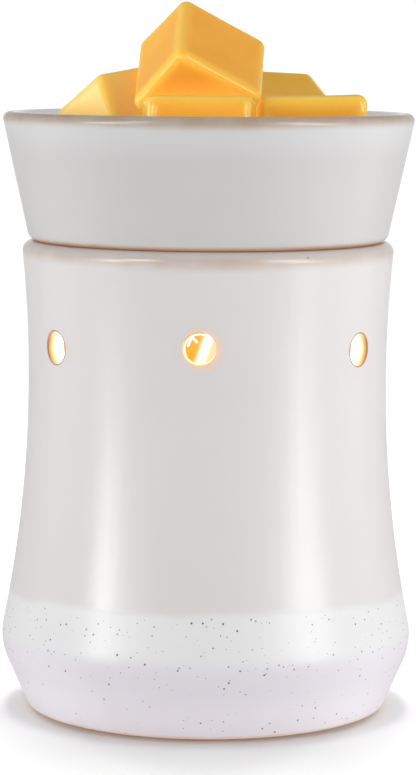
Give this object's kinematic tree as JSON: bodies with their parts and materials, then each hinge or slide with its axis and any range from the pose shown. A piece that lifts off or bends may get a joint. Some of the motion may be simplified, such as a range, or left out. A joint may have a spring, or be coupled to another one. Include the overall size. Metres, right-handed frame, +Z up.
{
  "type": "wax melt warmer",
  "caption": "Waisted ceramic wax melt warmer: a flared lift-off dish of scented wax pieces over a reflector bulb, with round light holes and a dipped speckled foot.",
  "frame": {"origin": "on the body's axis, at the resting plane under the foot pads", "axes": "+Z up along the body's axis, front light hole toward -Y, cord inlet toward +Y, +X to the right seen from the front"},
  "size_m": [0.1074, 0.107, 0.1842],
  "materials": {
    "body_glaze": "glossy off-white glaze with a dipped, speckled foot",
    "dish_glaze": "glossy off-white glaze, thin and tan at the edges",
    "steel": "zinc plated",
    "pad_rubber": "matt",
    "bushing_rubber": "matt, off-white",
    "porcelain": "unglazed",
    "block_plastic": "moulded",
    "mica": "pressed insulating sheet",
    "brass": "bright",
    "sleeve": "woven glass sleeve",
    "reflector_glass": "coated inside",
    "lens_glass": "clear",
    "quartz": "clear",
    "filament": "glowing coil",
    "wax": "soft wax, slightly translucent"
  },
  "bodies": {
    "base": {"body_shell": "body_glaze", "base_plate": "steel", "clamp_screws": "steel", "clamp_nuts": "steel", "lamp_bracket": "steel", "holder_screws": "steel", "holder_nuts": "steel", "terminal_screws": "steel", "block_screw": "steel", "foot_pad_1": "pad_rubber", "foot_pad_2": "pad_rubber", "foot_pad_3": "pad_rubber", "foot_pad_4": "pad_rubber", "cord_bushing": "bushing_rubber", "lampholder": "porcelain", "terminal_block": "block_plastic", "holder_cover": "mica", "contact_live": "brass", "contact_neutral": "brass", "barrel_live": "brass", "barrel_neutral": "brass", "lead_live": "sleeve", "lead_neutral": "sleeve"},
    "dish": {"wax_dish": "dish_glaze"},
    "wax_pile": {"wax_front": "wax", "wax_right": "wax", "wax_left": "wax", "wax_rear": "wax"},
    "wax_top_piece": {"wax_top": "wax"},
    "bulb": {"bulb_base": "porcelain", "bulb_pins": "brass", "bulb_reflector": "reflector_glass", "bulb_lens": "lens_glass", "bulb_capsule": "quartz", "bulb_filament": "filament"}
  },
  "joints": [
    {"name": "dish_lift", "type": "slide", "parent": "base", "child": "dish", "axis": [0, 0, 1], "range_m": [0, 0.04]},
    {"name": "wax_pile_lift", "type": "slide", "parent": "dish", "child": "wax_pile", "axis": [0, 0, 1], "range_m": [0, 0.04]},
    {"name": "wax_top_lift", "type": "slide", "parent": "wax_pile", "child": "wax_top_piece", "axis": [0, 0, 1], "range_m": [0, 0.04]},
    {"name": "bulb_twist", "type": "hinge", "parent": "base", "child": "bulb", "pos_m": [0, 0, 0.0585], "axis": [0, 0, 1], "range_deg": [0, 20]}
  ]
}
